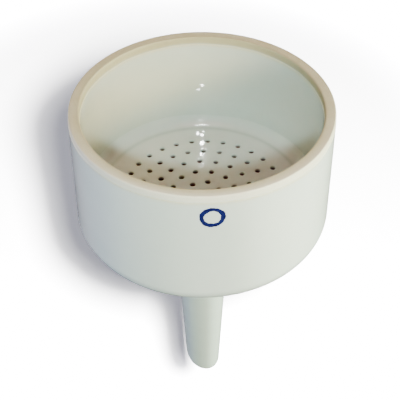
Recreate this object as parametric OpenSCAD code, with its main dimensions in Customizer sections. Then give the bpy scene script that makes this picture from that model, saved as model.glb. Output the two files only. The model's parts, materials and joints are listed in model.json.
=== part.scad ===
// Buchner funnel in glazed porcelain: a straight cup over a fixed perforated plate,
// with a shallow collecting bowl below the plate and a tapered stem.
// Millimetres, +Z up. The origin is on the axis, where the stem leaves its collar.

/* [Cup] */
// Outside diameter of the cup
cup_d = 120; // [112:1:150]
// Thickness of the cup wall and of the bowl
wall_t = 5.5; // [4.5:0.5:6.5]
// Depth from the top of the rim to the top of the perforated plate
cup_depth = 51.5; // [40:0.5:60]
// Height of the unglazed band at the rim
bare_h = 4; // [3:0.5:8]
// Radius that rounds both edges of the rim
rim_edge_r = 0.75; // [0.5:0.25:2]

/* [Perforated plate] */
// Thickness of the plate
plate_t = 5; // [4:0.5:7]
// Width of the ledge between the flat plate and the cup wall
ledge_w = 6; // [4:0.5:8]
// Width of the step that carries the plate's edge
step_w = 1.5; // [1:0.5:2.5]
// Rings of holes around the centre hole
hole_rings = 5; // [1:1:5]
// Distance from one ring of holes to the next
hole_pitch = 7.6; // [5:0.1:8]
// Diameter of each hole
hole_d = 2.6; // [1.5:0.1:3]
// Angle of the first hole in every ring
hole_turn = 15; // [0:1:59]

/* [Bowl] */
// Outside radius between the cup wall and the bowl's floor
shoulder_r = 10; // [8:0.5:14]
// Slope of the bowl's floor towards the stem
floor_slope = 20; // [10:1:25]

/* [Stem] */
// Length of the stem below its collar
stem_len = 89.5; // [60:0.5:120]
// Outside diameter at the tip
tip_d = 17.8; // [16:0.1:20]
// Growth of the diameter for each millimetre up the stem
stem_taper = 0.09; // [0.02:0.01:0.12]
// Diameter of the drain bore
bore_d = 11; // [6:0.5:12]
// Angle of the slanted cut across the tip
tip_cut = 31; // [0:1:35]
// Turn of the tip's long side from +X, towards +Y
tip_turn = -50; // [-180:5:180]
// Height of the collar between the stem and the bowl
collar_h = 6; // [4:0.5:8]
// Width of the collar where it meets the bowl
collar_w = 5.5; // [4:0.5:8]

/* [Printed mark] */
// Outside diameter of the printed ring
mark_d = 11; // [8:0.5:16]
// Width of the ring's line
mark_line = 2; // [0.8:0.1:2.5]
// Height that the fired print stands off the wall
mark_t = 0.12; // [0.1:0.01:0.2]
// Depth of the mark's centre below the rim
mark_drop = 11.5; // [10:0.5:30]
// Turn of the mark from the front, towards +X
mark_turn = 4; // [-30:1:30]

/* [Hidden] */
$fn = 96;

glaze = [0.87, 0.90, 0.86];
biscuit = [0.87, 0.81, 0.68];
cobalt = [0.06, 0.09, 0.36];

cup_r = cup_d / 2;
bore_r = bore_d / 2;
tip_r = tip_d / 2;
inner_r = cup_r - wall_t;
plate_r = inner_r - ledge_w;
boss_r = plate_r - step_w;

// The floor's outer face runs from the shoulder's arc down to the top of the collar.
shoulder_x = cup_r - shoulder_r;
stem_top_r = stem_r_at(collar_h);
floor_x = shoulder_x + shoulder_r * sin(floor_slope);
shoulder_z = collar_h + (floor_x - stem_top_r) * tan(floor_slope) + shoulder_r * cos(floor_slope);
plate_z = shoulder_z + plate_t;
step_z = shoulder_z + plate_t / 2;
rim_z = plate_z + cup_depth;

// The bowl's inside face keeps the wall's thickness, with its own arc on the same centre.
inside_arc_r = shoulder_r - wall_t;
inside_x = shoulder_x + inside_arc_r * sin(floor_slope);
throat_z = shoulder_z - inside_arc_r * cos(floor_slope) - (inside_x - bore_r) * tan(floor_slope);

// The ledge's cove is a little wider than the ledge, so its upper edge keeps some thickness.
cove_r = ledge_w + 0.3;
cove_z = plate_z + cove_r;

tip_drop = tip_r * tan(tip_cut);
overrun = 1;
arc_steps = 12;

// Outside radius of the stem at a height
function stem_r_at(z) = tip_r + (z + stem_len) * stem_taper / 2;

// Points on a circle's arc in the bowl's section, centred where the shoulder's arc is
function shoulder_arc(r, from, to) =
    [for (i = [0 : arc_steps]) let (a = from + (to - from) * i / arc_steps)
        [shoulder_x + r * cos(a), shoulder_z + r * sin(a)]];

// Points on the curve that leaves a towards the corner and reaches b from the corner
function blend(a, corner, b) =
    [for (i = [0 : arc_steps]) let (t = i / arc_steps)
        (1 - t) * (1 - t) * a + 2 * t * (1 - t) * corner + t * t * b];

// Section of a ring between two radii and two heights
module ring(inner, outer, low, high) {
    translate([inner, low]) square([outer - inner, high - low]);
}

// The unglazed band that the funnel stood on in the kiln, flat on top with rounded edges
module bare_rim() {
    edge_z = rim_z - rim_edge_r;
    color(biscuit) rotate_extrude() {
        ring(inner_r, cup_r, rim_z - bare_h, edge_z);
        ring(inner_r + rim_edge_r, cup_r - rim_edge_r, edge_z, rim_z);
        for (x = [inner_r + rim_edge_r, cup_r - rim_edge_r])
            translate([x, edge_z]) circle(rim_edge_r);
    }
}

// The glazed straight wall, from the bare band down to the bowl
module cup_wall() {
    color(glaze) rotate_extrude() ring(inner_r, cup_r, shoulder_z, rim_z - bare_h);
}

// The ring luted inside the wall: a step carries the plate and a cove runs up to the wall
module plate_ledge() {
    color(glaze) rotate_extrude() difference() {
        ring(boss_r, inner_r, shoulder_z, cove_z);
        ring(boss_r - overrun, plate_r, step_z, cove_z + overrun);
        translate([plate_r, cove_z]) circle(cove_r);
    }
}

// Hole centres: one in the middle, then 6 in the first ring, 12 in the second and so on
module at_holes() {
    children();
    for (ring_no = [1 : hole_rings], hole_no = [1 : 6 * ring_no])
        rotate(hole_turn + 60 * hole_no / ring_no)
            translate([ring_no * hole_pitch, 0]) children();
}

// The flat plate, rebated underneath to sit on the ledge's step
module perforated_plate() {
    color(glaze) difference() {
        union() {
            translate([0, 0, shoulder_z]) cylinder(r = boss_r, h = plate_t);
            translate([0, 0, step_z]) cylinder(r = plate_r, h = plate_z - step_z);
        }
        translate([0, 0, shoulder_z - overrun])
            at_holes() cylinder(d = hole_d, h = plate_t + 2 * overrun);
    }
}

// The collecting bowl under the plate, with the drain's throat at its centre
module bowl() {
    floor_angle = floor_slope - 90;
    color(glaze) rotate_extrude() polygon(concat(
        shoulder_arc(shoulder_r, 0, floor_angle),
        [[stem_top_r, collar_h], [bore_r, collar_h], [bore_r, throat_z]],
        shoulder_arc(shoulder_r - wall_t, floor_angle, 0)));
}

// The fillet of slip that blends the stem into the bowl
module stem_collar() {
    stem_side = [stem_r_at(0), 0];
    corner = [stem_top_r, collar_h];
    floor_side = [stem_top_r + collar_w, collar_h + collar_w * tan(floor_slope)];
    color(glaze) rotate_extrude()
        polygon(concat(blend(stem_side, corner, floor_side), [corner]));
}

// The tapered stem with a parallel bore and a slanted tip
module stem() {
    whole = stem_len + collar_h;
    color(glaze) difference() {
        translate([0, 0, -stem_len]) cylinder(r1 = tip_r, r2 = stem_top_r, h = whole);
        translate([0, 0, -stem_len - overrun]) cylinder(r = bore_r, h = whole + 2 * overrun);
        translate([0, 0, tip_drop - stem_len]) rotate([0, tip_cut, tip_turn])
            translate([-tip_d, -tip_d, -tip_d]) cube([2 * tip_d, 2 * tip_d, tip_d]);
    }
}

// The fired print: a plain ring, wrapped on the front of the wall
module blue_mark() {
    color(cobalt) rotate(mark_turn) translate([0, 0, rim_z - mark_drop]) intersection() {
        rotate([90, 0, 0]) linear_extrude(height = cup_d) difference() {
            circle(d = mark_d);
            circle(d = mark_d - 2 * mark_line);
        }
        difference() {
            cylinder(r = cup_r + mark_t, h = 2 * mark_d, center = true);
            cylinder(r = cup_r, h = 2 * mark_d + overrun, center = true);
        }
    }
}

bare_rim();
cup_wall();
plate_ledge();
perforated_plate();
bowl();
stem_collar();
stem();
blue_mark();
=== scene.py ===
"""A porcelain Buchner funnel in looks: glazed pieces around the frame of the CAD model."""

import json
import math

import bmesh
import bpy
import numpy as np
from mathutils import Matrix, Vector
from mathutils.geometry import delaunay_2d_cdt

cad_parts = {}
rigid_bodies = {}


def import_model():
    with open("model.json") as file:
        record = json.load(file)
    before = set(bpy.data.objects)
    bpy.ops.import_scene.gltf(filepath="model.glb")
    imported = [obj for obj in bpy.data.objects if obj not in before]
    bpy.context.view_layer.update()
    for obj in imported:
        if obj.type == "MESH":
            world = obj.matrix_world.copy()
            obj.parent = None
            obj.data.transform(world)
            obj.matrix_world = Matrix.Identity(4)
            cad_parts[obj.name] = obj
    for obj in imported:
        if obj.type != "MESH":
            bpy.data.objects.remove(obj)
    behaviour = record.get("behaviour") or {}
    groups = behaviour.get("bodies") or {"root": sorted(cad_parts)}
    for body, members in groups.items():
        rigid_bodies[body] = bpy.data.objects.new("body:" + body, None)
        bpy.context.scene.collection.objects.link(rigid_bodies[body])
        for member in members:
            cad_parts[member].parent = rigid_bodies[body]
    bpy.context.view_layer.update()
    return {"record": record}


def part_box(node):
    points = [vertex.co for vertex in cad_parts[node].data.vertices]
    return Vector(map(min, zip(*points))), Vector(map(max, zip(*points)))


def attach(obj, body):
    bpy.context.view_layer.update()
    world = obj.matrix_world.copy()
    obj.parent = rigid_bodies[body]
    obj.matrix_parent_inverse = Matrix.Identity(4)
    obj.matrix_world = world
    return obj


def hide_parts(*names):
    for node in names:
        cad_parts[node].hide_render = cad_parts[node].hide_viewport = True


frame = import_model()

MM = 0.001
TURN = 2 * math.pi
MOUNTS = {mount["name"]: mount for mount in frame["record"]["mounts"]}

# Heights and radii of the frame, in metres
CUP_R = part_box("cup_wall")[1].x
INNER_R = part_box("plate_ledge")[1].x
PLATE_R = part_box("perforated_plate")[1].x
RIM_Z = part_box("bare_rim")[1].z
BAND_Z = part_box("bare_rim")[0].z
SHOULDER_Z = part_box("cup_wall")[0].z
PLATE_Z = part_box("perforated_plate")[1].z
PLATE_LOW_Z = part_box("perforated_plate")[0].z
STEM_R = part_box("stem")[1].x
STEM_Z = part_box("stem")[1].z
TIP_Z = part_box("stem")[0].z
COLLAR_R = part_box("stem_collar")[1].x
COLLAR_HIGH_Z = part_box("stem_collar")[1].z
COLLAR_LOW_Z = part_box("stem_collar")[0].z
BORE_R = MOUNTS["drain"]["dims"]["r_mm"] * MM
WALL_T = CUP_R - INNER_R
MARK_LOW, MARK_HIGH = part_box("blue_mark")
MARK_ANGLE = math.atan2((MARK_LOW.y + MARK_HIGH.y) / 2, (MARK_LOW.x + MARK_HIGH.x) / 2)
MARK_Z = (MARK_LOW.z + MARK_HIGH.z) / 2
MARK_R = (MARK_HIGH.z - MARK_LOW.z) / 2
MARK_CENTRE = (CUP_R * math.cos(MARK_ANGLE), CUP_R * math.sin(MARK_ANGLE), MARK_Z)

# Sizes of the details, in metres and radians
TIP_R = 8.9 * MM
TIP_CUT = math.radians(31)
TIP_TURN = math.radians(-50)
SHOULDER_R = 10 * MM
FLOOR_SLOPE = math.radians(20)
STEP_W = 1.5 * MM
STEP_Z = (PLATE_Z + PLATE_LOW_Z) / 2
COVE_R = INNER_R - PLATE_R + 0.3 * MM
RIM_EDGE_R = 0.75 * MM
GLAZE_T = 0.18 * MM
HOLE_R = 1.3 * MM
HOLE_PITCH = 7.6 * MM
HOLE_RINGS = 5
HOLE_TURN = math.radians(15)
HOLE_SHIFT = (0.75 * MM, 0.35 * MM)
MARK_LINE = 2 * MM
MARK_MID_R = MARK_R - MARK_LINE / 2
CUP_SIDES = 288
STEM_SIDES = 144
HOLE_SIDES = 20
SHARP = math.radians(35)

rng = np.random.default_rng(7)


# ---------------------------------------------------------------- profiles and meshes


def line(a, b, step):
    """Points from a up to but not including b, at most step apart."""
    a, b = np.array(a, float), np.array(b, float)
    count = max(1, math.ceil(np.linalg.norm(b - a) / step))
    return a + (b - a) * (np.arange(count) / count)[:, None]


def arc(centre, radius, start, end, count):
    """Points on an arc in degrees, closer together at its ends, so that seams don't show."""
    t = np.linspace(0, 1, count + 1)
    t = t - 0.85 * np.sin(TURN * t) / TURN
    angle = np.radians(start + (end - start) * t)
    return np.array(centre) + radius * np.stack([np.cos(angle), np.sin(angle)], 1)


def loop(corners, step):
    """A closed profile through corners (r, z, radius), each rounded by its radius."""
    count = len(corners)
    out = []
    for i, (r, z, radius) in enumerate(corners):
        here = np.array([r, z])
        before = np.array(corners[i - 1][:2]) - here
        after = np.array(corners[(i + 1) % count][:2]) - here
        before /= np.linalg.norm(before)
        after /= np.linalg.norm(after)
        half = math.acos(np.clip(before @ after, -1, 1)) / 2
        if radius <= 0:
            out.append([here])
            continue
        reach = radius / math.tan(half)
        steps = max(3, math.ceil((math.pi - 2 * half) / math.radians(11)))
        centre = here + (before + after) / np.linalg.norm(before + after) * radius / math.sin(half)
        a, b = here + before * reach - centre, here + after * reach - centre
        turn = math.atan2(a[0] * b[1] - a[1] * b[0], a @ b)
        base = math.atan2(a[1], a[0])
        angle = base + turn * np.linspace(0, 1, steps + 1)
        out.append(centre + radius * np.stack([np.cos(angle), np.sin(angle)], 1))
    points = []
    for i, part in enumerate(out):
        points.extend(part)
        points.extend(line(part[-1], out[(i + 1) % count][0], step)[1:])
    return np.array(points)


def mesh_object(name, points, faces):
    mesh = bpy.data.meshes.new(name)
    mesh.from_pydata([tuple(p) for p in points], [], [tuple(f) for f in faces])
    work = bmesh.new()
    work.from_mesh(mesh)
    bmesh.ops.recalc_face_normals(work, faces=work.faces)
    for edge in work.edges:
        edge.smooth = edge.calc_face_angle(0) < SHARP
    work.to_mesh(mesh)
    work.free()
    mesh.polygons.foreach_set("use_smooth", np.ones(len(mesh.polygons), bool))
    mesh.update()
    piece = bpy.data.objects.new(name, mesh)
    bpy.context.scene.collection.objects.link(piece)
    return piece


def attribute(piece, name, values):
    layer = piece.data.attributes.new(name, "FLOAT", "POINT")
    layer.data.foreach_set("value", np.asarray(values, np.float32).ravel())


def revolve(name, profile, sides, shape=None):
    """A closed profile of (r, z) turned round the axis. shape(theta, r, z) may move the points."""
    theta = (TURN * np.arange(sides) / sides)[None, :]
    r = np.repeat(profile[:, :1], sides, 1)
    z = np.repeat(profile[:, 1:], sides, 1)
    if shape:
        r, z = shape(theta, r, z)
    points = np.stack([r * np.cos(theta), r * np.sin(theta), z], 2).reshape(-1, 3)
    count = len(profile)
    i, j = np.meshgrid(np.arange(count), np.arange(sides), indexing="ij")
    n, m = (i + 1) % count, (j + 1) % sides
    faces = np.stack([i * sides + j, i * sides + m, n * sides + m, n * sides + j], 2).reshape(-1, 4)
    return mesh_object(name, points, faces)


def smooth(x):
    x = np.clip(x, 0, 1)
    return x * x * (3 - 2 * x)


# ---------------------------------------------------------------- how the clay and glaze stray


def wall_stray(theta, r, z):
    """How far the thrown wall strays in or out, in metres."""
    outer = (
        0.09 * np.cos(2 * theta + 0.6)
        + 0.05 * np.cos(3 * theta - 1.2)
        + 0.020 * np.sin(TURN * z / (17 * MM) + 1.3 * np.cos(theta))
        + 0.015 * np.sin(7 * theta + TURN * z / (41 * MM))
    )
    inner = (
        0.08 * np.cos(2 * theta + 0.9)
        + 0.04 * np.cos(4 * theta + 2.0)
        + 0.022 * np.sin(TURN * z / (13 * MM) + 0.9 * np.sin(theta + 0.8))
        + 0.012 * np.sin(9 * theta - TURN * z / (29 * MM))
    )
    side = np.clip((r - INNER_R) / WALL_T, 0, 1)
    return (inner + (outer - 0.16 - inner) * side) * MM


def glaze_line(theta, r):
    """How far the edge of the glaze lies above the CAD band, in metres."""
    outer = 0.75 + 0.26 * np.sin(2 * theta + 0.4) + 0.15 * np.sin(5 * theta + 2.1)
    outer = outer + 0.09 * np.sin(12 * theta + 0.3) + 0.05 * np.sin(27 * theta + 1.0)
    inner = 0.05 + 0.30 * np.sin(theta + 2.6) + 0.14 * np.sin(4 * theta + 0.5)
    inner = inner + 0.10 * np.sin(11 * theta + 1.7) + 0.05 * np.sin(25 * theta)
    side = np.clip((r - INNER_R) / WALL_T, 0, 1)
    return (inner + (outer - inner) * side) * MM


def rim_shape(theta, r, z):
    low = smooth((RIM_Z - RIM_EDGE_R - z) / (RIM_Z - RIM_EDGE_R - BAND_Z))
    high = smooth((z - BAND_Z) / (RIM_Z - BAND_Z))
    level = (0.06 * np.cos(2 * theta + 1.9) + 0.03 * np.cos(5 * theta) - 0.09) * MM
    return r + wall_stray(theta, r, z), z + glaze_line(theta, r) * low + level * high


def wall_shape(theta, r, z):
    top = smooth((z - BAND_Z + 7 * MM) / (7 * MM))
    return r + wall_stray(theta, r, z), z + glaze_line(theta, r) * top


def ledge_shape(theta, r, z):
    out = smooth((r - PLATE_R - 1 * MM) / (INNER_R - PLATE_R - 1 * MM))
    lift = 0.25 * np.sin(3 * theta + 1.0) + 0.15 * np.sin(7 * theta + 0.2)
    rise = np.clip((z - PLATE_Z) / (4 * MM), 0, 1)
    return r + wall_stray(theta, np.minimum(r, INNER_R), z) * out, z + lift * rise * MM


def bowl_shape(theta, r, z):
    fade = smooth((r - 2 * STEM_R) / (CUP_R - SHOULDER_R - 2 * STEM_R))
    depth = np.clip((INNER_R - r) / (3 * MM), 0, 1)
    ripple = 0.04 * np.sin(TURN * r / (9 * MM) + 0.8 * np.cos(theta)) * depth * fade
    return r + wall_stray(theta, r, z) * fade, z + ripple * MM


def stem_shape(theta, r, z):
    near = smooth((STEM_Z - 30 * MM - z) / (STEM_Z - 30 * MM - TIP_Z))
    slant = (TIP_R - r * np.cos(theta - TIP_TURN)) * math.tan(TIP_CUT)
    ripple = 0.03 * np.sin(TURN * z / (11 * MM) + np.cos(theta)) + 0.03 * np.cos(2 * theta + z * 90)
    outside = np.clip((r - BORE_R - 0.5 * MM) / (2 * MM), 0, 1)
    fade = np.clip((STEM_Z - z) / (6 * MM), 0, 1)
    return r + (ripple - 0.04) * outside * fade * MM, z + slant * near


# ---------------------------------------------------------------- materials


def add(tree, kind, settings=None, **inputs):
    """A node with its settings, and its inputs linked or set. An underscore stands for a space."""
    made = tree.nodes.new(kind)
    for key, value in (settings or {}).items():
        setattr(made, key, value)
    for key, value in inputs.items():
        socket = made.inputs[key.replace("_", " ")]
        if isinstance(value, bpy.types.NodeSocket):
            tree.links.new(value, socket)
        else:
            socket.default_value = value
    return made


def noise(tree, coords, scale, detail=2.0, roughness=0.5):
    return add(
        tree, "ShaderNodeTexNoise", Vector=coords, Scale=scale, Detail=detail, Roughness=roughness
    ).outputs[0]


def remap(tree, value, low, high, to_low=0.0, to_high=1.0):
    return add(
        tree, "ShaderNodeMapRange", {"interpolation_type": "SMOOTHSTEP"},
        Value=value, From_Min=low, From_Max=high, To_Min=to_low, To_Max=to_high,
    ).outputs[0]


def mix(tree, factor, a, b):
    made = tree.nodes.new("ShaderNodeMix")
    made.data_type = "RGBA"
    for socket, value in ((made.inputs[0], factor), (made.inputs[6], a), (made.inputs[7], b)):
        if isinstance(value, bpy.types.NodeSocket):
            tree.links.new(value, socket)
        elif isinstance(value, tuple):
            socket.default_value = (*value, 1.0)
        else:
            socket.default_value = value
    return made.outputs[2]


def calc(tree, operation, a, b=0.0):
    made = tree.nodes.new("ShaderNodeMath")
    made.operation = operation
    for socket, value in zip(made.inputs, (a, b)):
        if isinstance(value, bpy.types.NodeSocket):
            tree.links.new(value, socket)
        else:
            socket.default_value = value
    return made.outputs[0]


def start_material(name):
    material = bpy.data.materials.new(name)
    material.use_nodes = True
    tree = material.node_tree
    shader = tree.nodes["Principled BSDF"]
    coords = tree.nodes.new("ShaderNodeTexCoord").outputs["Object"]
    return material, tree, shader, coords


def specks(tree, coords, scale, size, share):
    """1 on round specks: one in some of a grid's cells."""
    cells = add(tree, "ShaderNodeTexVoronoi", Vector=coords, Scale=scale)
    red = add(tree, "ShaderNodeSeparateColor", Color=cells.outputs["Color"]).outputs[0]
    spot = remap(tree, cells.outputs["Distance"], size, size * 0.5)
    return calc(tree, "MULTIPLY", spot, calc(tree, "GREATER_THAN", red, 1 - share))


# Colours, linear
GLAZE_WHITE = (0.72, 0.79, 0.71)
GLAZE_COOL = (0.68, 0.77, 0.69)
# Colour of pooled glaze, also used as painted shade on the stem and collar
GLAZE_POOL_AND_PAINTED_SHADE = (0.50, 0.60, 0.52)
# Painted shade inside the plate's holes
HOLE_PAINTED_SHADE = (0.075, 0.042, 0.028)
BARE_CREAM = (0.74, 0.71, 0.46)
BARE_LIGHT = (0.79, 0.78, 0.55)
BARE_DARK = (0.56, 0.51, 0.30)
# Painted light on the front of the rim
BARE_PAINTED_LIGHT = (0.92, 0.91, 0.74)
# Painted shade on the rim's edges
BARE_PAINTED_SHADE = (0.50, 0.46, 0.27)
SPECK_BROWN = (0.30, 0.22, 0.15)
SPECK_GREY = (0.42, 0.38, 0.32)
SPECK_BARE = (0.32, 0.24, 0.16)
BLUE_HALO = (0.45, 0.50, 0.74)
BLUE_DEEP = (0.003, 0.004, 0.045)
BLUE_THIN = (0.010, 0.014, 0.11)
BLUE_SKIPPED = (0.06, 0.08, 0.28)
PAPER_DULL = (0.90, 0.90, 0.905)
PAPER_CLEAN = (0.92, 0.92, 0.925)
# Painted light on the floor: the paper glows dimly and bluish in the shadow, a painted shadow tint, and
# glows brightly well away from it
SHADOW_TINT = (0.44, 0.44, 0.52)
OPEN_TINT = (1.0, 1.0, 1.0)
SHADOW_GLOW = 0.95
OPEN_GLOW = 24.0
# Middle of the shadow and of the painted shade round it, from the middle of the floor, and where the
# painted glow starts and stops growing
SHADOW_SPOT = (-0.04, 0.47, 0)
SHADOW_EDGE = (0.24, 0.42)


def glazed_porcelain():
    material, tree, shader, coords = start_material("glazed_porcelain")
    colour = mix(tree, remap(tree, noise(tree, coords, 26, 3), 0.3, 0.7), GLAZE_WHITE, GLAZE_COOL)
    cloud = remap(tree, noise(tree, coords, 170, 4, 0.6), 0.3, 0.7, 0.0, 0.07)
    colour = mix(tree, cloud, colour, GLAZE_POOL_AND_PAINTED_SHADE)
    # Greener where the glaze pools; on the stem and collar the same mix is painted shade
    pool_and_painted_shade = add(tree, "ShaderNodeAttribute", {"attribute_name": "pool_and_painted_shade"}).outputs["Fac"]
    colour = mix(tree, calc(tree, "MULTIPLY", pool_and_painted_shade, 0.75), colour, GLAZE_POOL_AND_PAINTED_SHADE)
    thin = add(tree, "ShaderNodeAttribute", {"attribute_name": "thin"}).outputs["Fac"]
    ragged = calc(tree, "MULTIPLY", thin, remap(tree, noise(tree, coords, 900, 3), 0.2, 0.8, 0.7, 1.2))
    colour = mix(tree, ragged, colour, BARE_CREAM)
    # Painted shade: the hole walls go near black with depth
    hole_painted_shade = add(tree, "ShaderNodeAttribute", {"attribute_name": "hole_painted_shade"}).outputs["Fac"]
    colour = mix(tree, hole_painted_shade, colour, HOLE_PAINTED_SHADE)
    colour = mix(tree, specks(tree, coords, 95, 0.020, 0.10), colour, SPECK_BROWN)
    colour = mix(tree, specks(tree, coords, 210, 0.022, 0.05), colour, SPECK_GREY)
    offset = add(tree, "ShaderNodeVectorMath", {"operation": "DISTANCE"})
    tree.links.new(coords, offset.inputs[0])
    offset.inputs[1].default_value = MARK_CENTRE
    from_ring = calc(tree, "ABSOLUTE", calc(tree, "SUBTRACT", offset.outputs["Value"], MARK_MID_R))
    halo = remap(tree, from_ring, 2.6 * MM, 0.3 * MM, 0.0, 0.35)
    colour = mix(tree, halo, colour, BLUE_HALO)
    tree.links.new(colour, shader.inputs["Base Color"])
    gloss = remap(tree, noise(tree, coords, 320, 3), 0.3, 0.7, 0.07, 0.13)
    gloss = calc(tree, "ADD", gloss, calc(tree, "MULTIPLY", thin, 0.3))
    tree.links.new(gloss, shader.inputs["Roughness"])
    swell = calc(tree, "MULTIPLY", noise(tree, coords, 70, 2), 2.5)
    peel = calc(tree, "ADD", noise(tree, coords, 380, 2), swell)
    pits = specks(tree, coords, 420, 0.10, 0.04)
    height = calc(tree, "SUBTRACT", peel, calc(tree, "MULTIPLY", pits, 0.6))
    bump = add(tree, "ShaderNodeBump", Height=height, Strength=0.06, Distance=0.15 * MM)
    tree.links.new(bump.outputs[0], shader.inputs["Normal"])
    shader.inputs["IOR"].default_value = 1.5
    return material


def bare_porcelain():
    material, tree, shader, coords = start_material("bare_porcelain")
    colour = mix(tree, remap(tree, noise(tree, coords, 60, 4, 0.6), 0.3, 0.7), BARE_CREAM, BARE_LIGHT)
    grain = remap(tree, noise(tree, coords, 2600, 3, 0.6), 0.35, 0.75, 0.0, 0.35)
    colour = mix(tree, grain, colour, BARE_DARK)
    stain = remap(tree, noise(tree, coords, 210, 5, 0.7), 0.55, 0.78, 0.0, 0.35)
    colour = mix(tree, stain, colour, BARE_DARK)
    # Painted light: the rim is made paler at its front
    front_painted_light = add(tree, "ShaderNodeAttribute", {"attribute_name": "front_painted_light"}).outputs["Fac"]
    colour = mix(tree, calc(tree, "MULTIPLY", front_painted_light, 0.8), colour, BARE_PAINTED_LIGHT)
    # Painted shade on the rim's inner edge and on its outer edge at the back
    edge_painted_shade = add(tree, "ShaderNodeAttribute", {"attribute_name": "edge_painted_shade"}).outputs["Fac"]
    colour = mix(tree, edge_painted_shade, colour, BARE_PAINTED_SHADE)
    thin = add(tree, "ShaderNodeAttribute", {"attribute_name": "thin"}).outputs["Fac"]
    colour = mix(tree, calc(tree, "MULTIPLY", thin, 0.8), colour, GLAZE_COOL)
    colour = mix(tree, specks(tree, coords, 300, 0.05, 0.05), colour, SPECK_BARE)
    tree.links.new(colour, shader.inputs["Base Color"])
    rough = calc(tree, "SUBTRACT", 0.82, calc(tree, "MULTIPLY", thin, 0.35))
    tree.links.new(rough, shader.inputs["Roughness"])
    coarse = calc(tree, "MULTIPLY", noise(tree, coords, 520, 3), 1.5)
    tooth = calc(tree, "ADD", noise(tree, coords, 2600, 4, 0.7), coarse)
    bump = add(tree, "ShaderNodeBump", Height=tooth, Strength=0.5, Distance=0.12 * MM)
    tree.links.new(bump.outputs[0], shader.inputs["Normal"])
    shader.inputs["IOR"].default_value = 1.45
    return material


def blue_print():
    material, tree, shader, coords = start_material("blue_print")
    density = remap(tree, noise(tree, coords, 900, 4, 0.65), 0.3, 0.7)
    colour = mix(tree, density, BLUE_DEEP, BLUE_THIN)
    skips = remap(tree, noise(tree, coords, 2400, 3, 0.6), 0.62, 0.74, 0.0, 0.6)
    colour = mix(tree, skips, colour, BLUE_SKIPPED)
    tree.links.new(colour, shader.inputs["Base Color"])
    gloss = remap(tree, noise(tree, coords, 700, 2), 0.3, 0.7, 0.10, 0.22)
    tree.links.new(gloss, shader.inputs["Roughness"])
    bump = add(tree, "ShaderNodeBump", Height=density, Strength=0.15, Distance=0.05 * MM)
    tree.links.new(bump.outputs[0], shader.inputs["Normal"])
    return material


def floor_paper():
    material, tree, shader, coords = start_material("floor_paper")
    shade = remap(tree, noise(tree, coords, 3, 3), 0.3, 0.7)
    colour = mix(tree, shade, PAPER_DULL, PAPER_CLEAN)
    tree.links.new(colour, shader.inputs["Base Color"])
    shader.inputs["Roughness"].default_value = 0.95
    shader.inputs["Specular IOR Level"].default_value = 0.1
    # The paper glows, painted light: dim and bluish round the shadow, a painted shade, and bright away
    # from it
    out = add(tree, "ShaderNodeVectorMath", {"operation": "DISTANCE"})
    tree.links.new(coords, out.inputs[0])
    out.inputs[1].default_value = SHADOW_SPOT
    far = remap(tree, out.outputs["Value"], *SHADOW_EDGE)
    tint = mix(tree, far, SHADOW_TINT, OPEN_TINT)
    tree.links.new(tint, shader.inputs["Emission Color"])
    glow = calc(tree, "ADD", calc(tree, "MULTIPLY", far, OPEN_GLOW), SHADOW_GLOW)
    tree.links.new(glow, shader.inputs["Emission Strength"])
    return material


GLAZED = glazed_porcelain()
BARE = bare_porcelain()
BLUE = blue_print()
PAPER = floor_paper()


def finish_piece(piece, node, material):
    piece.data.materials.append(material)
    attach(piece, "root")
    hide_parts(node)


def coordinates(piece):
    """theta, r and z of every point."""
    points = np.zeros(len(piece.data.vertices) * 3, np.float32)
    piece.data.vertices.foreach_get("co", points)
    x, y, z = points.reshape(-1, 3).T
    return np.arctan2(y, x), np.hypot(x, y), z


# ---------------------------------------------------------------- the pieces


def make_rim():
    outer, inner = CUP_R - GLAZE_T, INNER_R + GLAZE_T
    low = BAND_Z - 0.4 * MM
    profile = loop(
        [(outer, low, 0), (outer, RIM_Z, RIM_EDGE_R), (inner, RIM_Z, RIM_EDGE_R), (inner, low, 0)],
        0.4 * MM,
    )
    piece = revolve("bare_rim_body", profile, CUP_SIDES, rim_shape)
    theta, r, z = coordinates(piece)
    above = z - BAND_Z - glaze_line(theta, r)
    attribute(piece, "thin", np.exp(-np.clip(above, 0, 1) / (0.35 * MM)))
    # Painted light: paler towards the front of the rim, fading in from the inner edge
    front = (0.5 - 0.5 * np.sin(theta)) ** 2
    from_inner, from_outer = r - INNER_R, CUP_R - r
    attribute(piece, "front_painted_light", front * smooth((from_inner - 1.5 * MM) / (3 * MM)))
    # Painted shade: darker along the inner edge all round, and along the outer edge at the back
    inner_edge = np.exp(-((from_inner / (1.0 * MM)) ** 2))
    outer_edge = np.exp(-((from_outer / (0.8 * MM)) ** 2)) * (1 - front)
    attribute(piece, "edge_painted_shade", np.maximum(inner_edge, 0.8 * outer_edge))
    finish_piece(piece, "bare_rim", BARE)


def make_wall():
    bead = 0.3 * MM
    profile = loop(
        [(CUP_R, SHOULDER_Z, 0), (CUP_R, BAND_Z, bead), (INNER_R, BAND_Z, bead), (INNER_R, SHOULDER_Z, 0)],
        1.3 * MM,
    )
    piece = revolve("cup_wall_body", profile, CUP_SIDES, wall_shape)
    theta, r, z = coordinates(piece)
    below = BAND_Z + glaze_line(theta, r) - z
    attribute(piece, "thin", 0.9 * np.exp(-np.clip(below, 0, 1) / (0.8 * MM)))
    inside = r < INNER_R + 1 * MM
    attribute(piece, "pool_and_painted_shade", inside * smooth((PLATE_Z + 14 * MM - z) / (12 * MM)) * 0.4)
    finish_piece(piece, "cup_wall", GLAZED)


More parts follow.
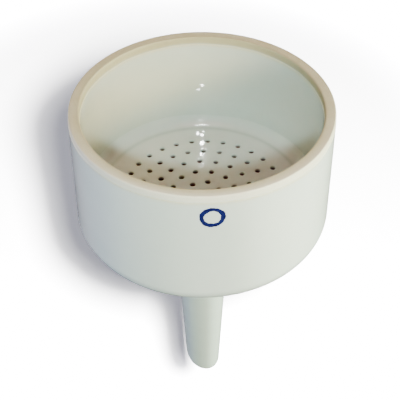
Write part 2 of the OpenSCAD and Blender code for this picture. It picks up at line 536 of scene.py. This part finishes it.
def make_ledge():
    back = INNER_R + 0.6 * MM
    cove = arc((PLATE_R, PLATE_Z + COVE_R), COVE_R, -90, -4, 30)
    rest = [(back, cove[-1][1]), (back, PLATE_LOW_Z), (PLATE_R - STEP_W, PLATE_LOW_Z),
            (PLATE_R - STEP_W, STEP_Z), (PLATE_R, STEP_Z), (PLATE_R, PLATE_Z)]
    corners = [tuple(cove[-1])] + rest
    points = list(cove[:-1])
    for a, b in zip(corners[:-1], corners[1:]):
        points.extend(line(a, b, 1.5 * MM))
    piece = revolve("plate_ledge_body", np.array(points), CUP_SIDES, ledge_shape)
    theta, r, z = coordinates(piece)
    attribute(piece, "pool_and_painted_shade", np.exp(-((r - PLATE_R) / (1.2 * MM)) ** 2))
    finish_piece(piece, "plate_ledge", GLAZED)


def hole_centres():
    centres = [(0.0, 0.0)]
    for ring in range(1, HOLE_RINGS + 1):
        for number in range(6 * ring):
            angle = HOLE_TURN + TURN * number / (6 * ring)
            centres.append((ring * HOLE_PITCH * math.cos(angle), ring * HOLE_PITCH * math.sin(angle)))
    return np.array(centres) + HOLE_SHIFT + rng.normal(0, 0.06 * MM, (len(centres), 2))


def make_plate():
    """The plate, with every hole's edge rounded over by the glaze."""
    centres = hole_centres()
    lip, under = 0.4 * MM, 0.3 * MM
    collar = HOLE_R + lip + 0.25 * MM
    border = PLATE_R - STEP_W - 1 * MM
    theta = TURN * np.arange(CUP_SIDES) / CUP_SIDES
    turn = TURN * np.arange(HOLE_SIDES) / HOLE_SIDES
    ring = np.stack([np.cos(theta), np.sin(theta)], 1)
    small = np.stack([np.cos(turn), np.sin(turn)], 1)

    flat = [border * ring] + [c + collar * small for c in centres]
    edges = [(j, (j + 1) % CUP_SIDES) for j in range(CUP_SIDES)]
    starts = [CUP_SIDES + i * HOLE_SIDES for i in range(len(centres))]
    for start in starts:
        edges += [(start + j, start + (j + 1) % HOLE_SIDES) for j in range(HOLE_SIDES)]
    pitch = 2.2 * MM
    rows = np.arange(-border, border, pitch * math.sqrt(3) / 2)
    filler = np.array([(x + (i % 2) * pitch / 2, y) for i, y in enumerate(rows)
                       for x in np.arange(-border, border, pitch)])
    clear = np.min(np.linalg.norm(filler[:, None] - centres[None], axis=2), axis=1) > collar + 0.7 * MM
    clear &= np.hypot(*filler.T) < border - 0.9 * MM
    flat.append(filler[clear])
    flat = np.concatenate(flat)
    made = delaunay_2d_cdt([Vector(p) for p in flat], edges, [], 0, 1e-7, False)
    flat = np.array([tuple(p) for p in made[0]])
    owner = np.full(len(flat), -1)
    for i, start in enumerate(starts):
        owner[start:start + HOLE_SIDES] = i
    top_faces = [f for f in made[2]
                 if not (owner[f[0]] >= 0 and owner[f[0]] == owner[f[1]] == owner[f[2]])]

    def level(x, y):
        """How far the plate has sunk in the kiln, with a slight unevenness."""
        out = np.hypot(x, y) / border
        wave = 0.04 * np.sin(x * 150 + 1.0) * np.cos(y * 130 + 0.4) * np.clip(2 - 2 * out, 0, 1)
        return (-0.25 * np.clip(1 - out * out, 0, 1) + wave) * MM

    sink = level(*flat.T)
    count = len(flat)
    points = [np.column_stack([flat, PLATE_Z + sink]), np.column_stack([flat, PLATE_LOW_Z + sink])]
    faces = [tuple(f) for f in top_faces] + [tuple(count + v for v in reversed(f)) for f in top_faces]
    total = 2 * count

    def stitch(first, second, sides):
        for j in range(sides):
            k = (j + 1) % sides
            faces.append((first + j, first + k, second + k, second + j))

    quarter = np.radians(np.linspace(90, 0, 6))
    depth = PLATE_Z - PLATE_LOW_Z
    for i, (centre, start) in enumerate(zip(centres, starts)):
        size = HOLE_R * (1 + 0.035 * rng.normal())
        wobble = 1 + 0.03 * np.cos(2 * turn + rng.uniform(0, TURN))
        drop = level(*centre)
        path = [(size + lip - lip * math.cos(a), -lip + lip * math.sin(a)) for a in quarter]
        path += [(size, -depth * f) for f in (0.35, 0.6, 0.8)]
        path += [(size + under - under * math.cos(a), -depth + under - under * math.sin(a))
                 for a in quarter[::-1]]
        before = start
        for radius, height in path:
            grown = centre + (radius * wobble)[:, None] * small
            points.append(np.column_stack([grown, np.full(HOLE_SIDES, PLATE_Z + drop + height)]))
            stitch(before, total, HOLE_SIDES)
            before, total = total, total + HOLE_SIDES
        stitch(before, count + start, HOLE_SIDES)

    boss = PLATE_R - STEP_W
    before = 0
    rim_path = [(boss, PLATE_Z), (PLATE_R - 0.4 * MM, PLATE_Z), (PLATE_R, PLATE_Z), (PLATE_R, STEP_Z),
                (boss, STEP_Z), (boss, PLATE_LOW_Z)]
    for radius, height in rim_path:
        points.append(np.column_stack([radius * ring, np.full(CUP_SIDES, height)]))
        stitch(before, total, CUP_SIDES)
        before, total = total, total + CUP_SIDES
    stitch(before, count, CUP_SIDES)

    piece = mesh_object("perforated_plate_body", np.concatenate(points), faces)
    theta, r, z = coordinates(piece)
    x, y = r * np.cos(theta), r * np.sin(theta)
    near = np.min(np.hypot(x[:, None] - centres[:, 0], y[:, None] - centres[:, 1]), axis=1)
    edge = np.exp(-((r - PLATE_R) / (1.2 * MM)) ** 2)
    attribute(piece, "pool_and_painted_shade", 0.5 * np.exp(-np.clip(near - HOLE_R, 0, 1) / (0.8 * MM)) + edge)
    # Painted shade in the holes, starting 0.2 mm below the top and full 0.9 mm further down
    inside = near < HOLE_R * 1.2
    attribute(piece, "hole_painted_shade", inside * smooth((PLATE_Z - 0.2 * MM - z) / (0.9 * MM)))
    finish_piece(piece, "perforated_plate", GLAZED)


def make_bowl():
    centre = (CUP_R - SHOULDER_R, SHOULDER_Z)
    end = math.degrees(FLOOR_SLOPE) - 90
    outside = arc(centre, SHOULDER_R, 0, end, 44)
    inside = arc(centre, SHOULDER_R - WALL_T, end, 0, 24)
    throat_z = inside[0][1] - (inside[0][0] - BORE_R) * math.tan(FLOOR_SLOPE)
    bend = arc((BORE_R + 2 * MM, throat_z - 1.3 * MM), 2 * MM, 180, 110, 8)
    points = [outside[:-1], line(outside[-1], (STEM_R, STEM_Z), 1.3 * MM),
              line((STEM_R, STEM_Z), (BORE_R, STEM_Z), 1.3 * MM), line((BORE_R, STEM_Z), bend[0], 1 * MM),
              bend[:-1], line(bend[-1], inside[0], 1.3 * MM), inside[:-1],
              line((INNER_R, SHOULDER_Z), (CUP_R, SHOULDER_Z), 1.3 * MM)]
    piece = revolve("bowl_body", np.concatenate(points), CUP_SIDES, bowl_shape)
    theta, r, z = coordinates(piece)
    # Darker towards the stem
    attribute(piece, "pool_and_painted_shade", 0.5 * smooth((2.2 * STEM_R - r) / STEM_R))
    finish_piece(piece, "bowl", GLAZED)


def make_collar():
    taper = (STEM_R - TIP_R) / (STEM_Z - TIP_Z)
    start = np.array([STEM_R - (STEM_Z - COLLAR_LOW_Z) * taper - 0.03 * MM, COLLAR_LOW_Z])
    corner = np.array([STEM_R, STEM_Z])
    end = np.array([COLLAR_R, COLLAR_HIGH_Z + 0.03 * MM])
    t = np.linspace(0, 1, 29)[:, None]
    curve = (1 - t) ** 2 * start + 2 * t * (1 - t) * corner + t * t * end
    back = [end + (-0.5 * MM, 1 * MM), corner + (-1 * MM, 1 * MM), start + (-1 * MM, 0.5 * MM)]
    points = list(curve[:-1])
    chain = [curve[-1]] + back + [curve[0]]
    for a, b in zip(chain[:-1], chain[1:]):
        points.extend(line(a, b, 1.5 * MM))
    piece = revolve("stem_collar_body", np.array(points), STEM_SIDES)
    theta, r, z = coordinates(piece)
    # Painted shade: the collar under the bowl is darkened all over
    attribute(piece, "pool_and_painted_shade", np.full(len(r), 0.8))
    finish_piece(piece, "stem_collar", GLAZED)


def make_stem():
    profile = loop(
        [(STEM_R, STEM_Z, 0), (TIP_R, TIP_Z, 0.5 * MM), (BORE_R, TIP_Z, 0.8 * MM), (BORE_R, STEM_Z, 0)],
        1.2 * MM,
    )
    piece = revolve("stem_body", profile, STEM_SIDES, stem_shape)
    theta, r, z = coordinates(piece)
    # Painted shade: the stem is darkened all over, more towards the tip
    attribute(piece, "pool_and_painted_shade", 1.15 + 0.18 * smooth((TIP_Z + 9 * MM - z) / (8 * MM)))
    finish_piece(piece, "stem", GLAZED)


def make_mark():
    """The printed ring, laid on the wall with an uneven edge and a thin, rounded body."""
    sides, steps = 160, 8
    turn = TURN * np.arange(sides) / sides
    width = 0.5 * MARK_LINE * (
        1 + 0.10 * np.sin(3 * turn + 0.7) + 0.07 * np.sin(11 * turn + 2.0) + 0.05 * np.sin(23 * turn)
    )
    middle = MARK_MID_R + 0.08 * MM * np.sin(2 * turn + 1.0) + 0.05 * MM * np.sin(5 * turn)
    across = np.linspace(-1, 1, steps + 1)
    rise = 0.07 * MM * (1 - across ** 4)
    points, rings = [], [(s, h) for s, h in zip(across, rise)] + [(s, -0.25 * MM) for s in across[::-1]]
    for s, h in rings:
        radius = middle + s * width * 0.98
        angle = MARK_ANGLE + radius * np.cos(turn) / CUP_R
        z = MARK_Z + radius * np.sin(turn)
        out = CUP_R + wall_stray(angle, np.full(sides, CUP_R), z) + h
        points.append(np.stack([out * np.cos(angle), out * np.sin(angle), z], 1))
    count = len(rings)
    faces = [(i * sides + j, i * sides + (j + 1) % sides, (i + 1) % count * sides + (j + 1) % sides,
              (i + 1) % count * sides + j) for i in range(count) for j in range(sides)]
    piece = mesh_object("blue_mark_body", np.concatenate(points), faces)
    finish_piece(piece, "blue_mark", BLUE)


make_rim()
make_wall()
make_ledge()
make_plate()
make_bowl()
make_collar()
make_stem()
make_mark()


# ---------------------------------------------------------------- stage, lights and camera


FLOOR_Z = TIP_Z - 260.5 * MM
FLOOR_SIZE = 8
BACKDROP_R = 4.5
WORLD_COLOUR = (0.9, 0.95, 1.0, 1)
WORLD_STRENGTH = 0.05


def as_stage(thing, name):
    """Names a floor or backdrop and gives it the paper, which the camera sees but which lights and shades
    nothing.
    """
    thing.name = name
    thing.data.materials.append(PAPER)
    thing.visible_diffuse = thing.visible_glossy = thing.visible_shadow = False
    return thing


def make_floor():
    bpy.ops.mesh.primitive_grid_add(
        size=FLOOR_SIZE, x_subdivisions=4, y_subdivisions=4, location=(0, 0, FLOOR_Z)
    )
    return as_stage(bpy.context.object, "floor")


def make_backdrop():
    bpy.ops.mesh.primitive_uv_sphere_add(
        segments=64, ring_count=32, radius=BACKDROP_R, location=(0, 0, FLOOR_Z)
    )
    return as_stage(bpy.context.object, "backdrop")


def collect(name, objects):
    group = bpy.data.collections.new(name)
    for thing in objects:
        group.objects.link(thing)
    return group


def area_light(name, place, target, size, power, colour, lit, tall=0):
    """A soft light, a disk or an upright strip, that falls only on the objects in the collection lit."""
    data = bpy.data.lights.new(name, "AREA")
    data.shape = "ELLIPSE" if tall else "DISK"
    data.size = size
    data.size_y = tall or size
    data.energy = power
    data.color = colour
    light = bpy.data.objects.new(name, data)
    light.location = place
    aim = Vector(target) - Vector(place)
    light.rotation_euler = aim.to_track_quat("-Z", "Y").to_euler()
    light.light_linking.receiver_collection = lit
    light.visible_camera = False
    bpy.context.scene.collection.objects.link(light)
    return light


def glint(name, spot, normal, reach, size, tall, radiance, lit):
    """A tiny light whose highlight, as the camera sees it, lies at a spot on the glaze."""
    area = math.pi * size * tall / 4
    place = spot + reach * (spot - CAMERA_PLACE).normalized().reflect(normal)
    light = area_light(name, place, spot, size, math.pi * area * radiance, (1, 1, 1), lit, tall)
    light.visible_diffuse = False


def make_world():
    world = bpy.data.worlds.new("studio")
    world.use_nodes = True
    back = world.node_tree.nodes["Background"]
    back.inputs["Color"].default_value = WORLD_COLOUR
    back.inputs["Strength"].default_value = WORLD_STRENGTH
    bpy.context.scene.world = world


# The camera that fits the funnel's outline: its turns, its lens in mm, and how far it stands in
# front of the axis and above the rim, in cup radii
PITCH, YAW, ROLL = math.radians(42.71), math.radians(-0.163), math.radians(-0.307)
CAMERA_LENS = 96.67
CAMERA_BACK = 6.3273
CAMERA_RISE = 4.8955
CAMERA_PLACE = Vector((0, -CAMERA_BACK * CUP_R, RIM_Z + CAMERA_RISE * CUP_R))
CAMERA_UP = Vector((0, math.sin(PITCH), math.cos(PITCH)))


def make_camera():
    ahead = Vector((math.sin(YAW) * math.cos(PITCH), math.cos(YAW) * math.cos(PITCH), -math.sin(PITCH)))
    right = ahead.cross(Vector((0, 0, 1))).normalized()
    up = right.cross(ahead)
    tilted = math.cos(ROLL) * right + math.sin(ROLL) * up
    up = tilted.cross(ahead)
    data = bpy.data.cameras.new("camera")
    data.lens = CAMERA_LENS
    data.sensor_width = 36
    data.clip_start = 0.01
    camera = bpy.data.objects.new("camera", data)
    turn = Matrix((tilted, up, -ahead)).transposed().to_4x4()
    camera.matrix_world = Matrix.Translation(CAMERA_PLACE) @ turn
    bpy.context.scene.collection.objects.link(camera)
    bpy.context.scene.camera = camera


def polar(azimuth, elevation, distance):
    """A place round the cup. Azimuth 0 is in front, 90 on the right."""
    a, e = math.radians(azimuth), math.radians(elevation)
    out = Vector((math.sin(a) * math.cos(e), -math.cos(a) * math.cos(e), math.sin(e)))
    return AIM + distance * out


# The middle of the cup, which the soft lights point at, and their distance from it
AIM = Vector((0, 0, 0.03))
LIGHT_FAR = 1.2
# name, azimuth, elevation, diameter, power, colour
SOFT_LIGHTS = [
    ("key", 40, 20, 0.35, 22.0, (1.0, 0.75, 0.33)),
    ("front", 20, 10, 0.35, 6.0, (0.01, 0.45, 1.0)),
    ("side", 100, 0, 0.35, 54.1, (0.90, 1.0, 0.87)),
    ("fill", -105, -5, 0.35, 19.8, (0.83, 0.77, 1.0)),
    ("back", 180, -3, 0.5, 22.0, (0.92, 1.0, 0.94)),
    ("bounce", 40, -2, 0.35, 5.0, (0.92, 1.0, 0.95)),
    ("top", 0, 88, 0.5, 3.0, (1.0, 0.25, 0.20)),
]
# x and y of the highlight on the plate in mm, its width and height in mm, its radiance
PLATE_GLINTS = [
    (-2.1, 44.0, 1.2, 1.7, 160),
    (0.0, 42.8, 1.9, 1.2, 160),
    (0.6, 45.6, 1.0, 0.7, 60),
    (0.0, 36.5, 2.0, 1.8, 200),
    (0.4, 27.6, 2.6, 1.6, 200),
    (-0.6, 20.8, 2.4, 1.2, 90),
]
# x and z of the highlight on the back wall, and the same sizes
WALL_GLINTS = [(0.1, 57.7, 1.5, 0.9, 160), (-1.5, 55.1, 1.5, 0.8, 60), (1.1, 42.0, 0.7, 0.7, 60)]
# Slope of the cove at the highlight in degrees, and the same sizes
COVE_GLINTS = [(43, 2.8, 0.4, 130), (20, 8.0, 0.5, 130)]
# Where the lights of the floor point, their colour, and the place, diameter and power of each
FLOOR_AIM = (0, 0.43, FLOOR_Z)
FLOOR_COLOUR = (1, 0.99, 0.985)
FLOOR_LIGHTS = [
    ((0.0355, -0.362, 0.378), 0.034, 200.0),
    ((0.030, -0.369, 0.385), 0.050, 60.0),
]
# The flash just below the lens: its place, and the diameter, power and colour of the part that
# lights the clay and of the part that shines on the glaze
FLASH_PLACE = CAMERA_PLACE - 0.055 * CAMERA_UP
FLASH = (0.03, 2.3, (0.84, 1.0, 1.0))
SPARK = (0.008, 0.95, (1, 1, 1))
# Distance from a highlight on the wall or cove to its light. On the plate, the light hangs just in
# front of the back wall, and a mirrored ray covers this share of its length towards the wall.
WALL_REACH = 6 * MM
COVE_REACH = 11 * MM
WALL_GAP = 3 * MM
RAY_SHARE = 0.78


def light_pieces(pieces):
    on_piece = collect("on_piece", pieces)
    off_ledge = collect("off_ledge", [piece for piece in pieces if "ledge" not in piece.name])
    for name, azimuth, elevation, size, power, colour in SOFT_LIGHTS:
        area_light(name, polar(azimuth, elevation, LIGHT_FAR), AIM, size, power, colour, on_piece)
    flash = area_light("flash", FLASH_PLACE, AIM, *FLASH, on_piece)
    flash.visible_glossy = False
    spark = area_light("spark", FLASH_PLACE, AIM, *SPARK, off_ledge)
    spark.visible_diffuse = False


def light_highlights():
    """The small highlights on the plate, the back wall and the cove, each on its own piece."""
    on_wall = collect("on_wall", [bpy.data.objects["cup_wall_body"]])
    on_plate = collect("on_plate", [bpy.data.objects["perforated_plate_body"]])
    on_ledge = collect("on_ledge", [bpy.data.objects["plate_ledge_body"]])
    up, ahead = Vector((0, 0, 1)), Vector((0, -1, 0))
    for i, (x, y, size, tall, radiance) in enumerate(PLATE_GLINTS):
        spot = Vector((x * MM, y * MM, PLATE_Z))
        reach = (INNER_R - WALL_GAP - spot.y) / RAY_SHARE
        glint(f"plate_glint_{i}", spot, up, reach, size * MM, tall * MM, radiance, on_plate)
    for i, (x, z, size, tall, radiance) in enumerate(WALL_GLINTS):
        spot = Vector((x * MM, INNER_R, z * MM))
        glint(f"wall_glint_{i}", spot, ahead, WALL_REACH, size * MM, tall * MM, radiance, on_wall)
    for i, (slope, size, tall, radiance) in enumerate(COVE_GLINTS):
        lean = math.radians(slope)
        normal = Vector((0, -math.sin(lean), math.cos(lean)))
        spot = Vector((0, PLATE_R, PLATE_Z + COVE_R)) - COVE_R * normal
        glint(f"cove_glint_{i}", spot, normal, COVE_REACH, size * MM, tall * MM, radiance, on_ledge)


def light_floor(floor):
    on_floor = collect("on_floor", [floor])
    for i, (place, size, power) in enumerate(FLOOR_LIGHTS):
        area_light(f"floor_light_{i}", place, FLOOR_AIM, size, power, FLOOR_COLOUR, on_floor)


floor = make_floor()
make_backdrop()
make_world()
make_camera()
light_pieces([thing for thing in bpy.context.scene.objects if "body" in thing.name])
light_highlights()
light_floor(floor)
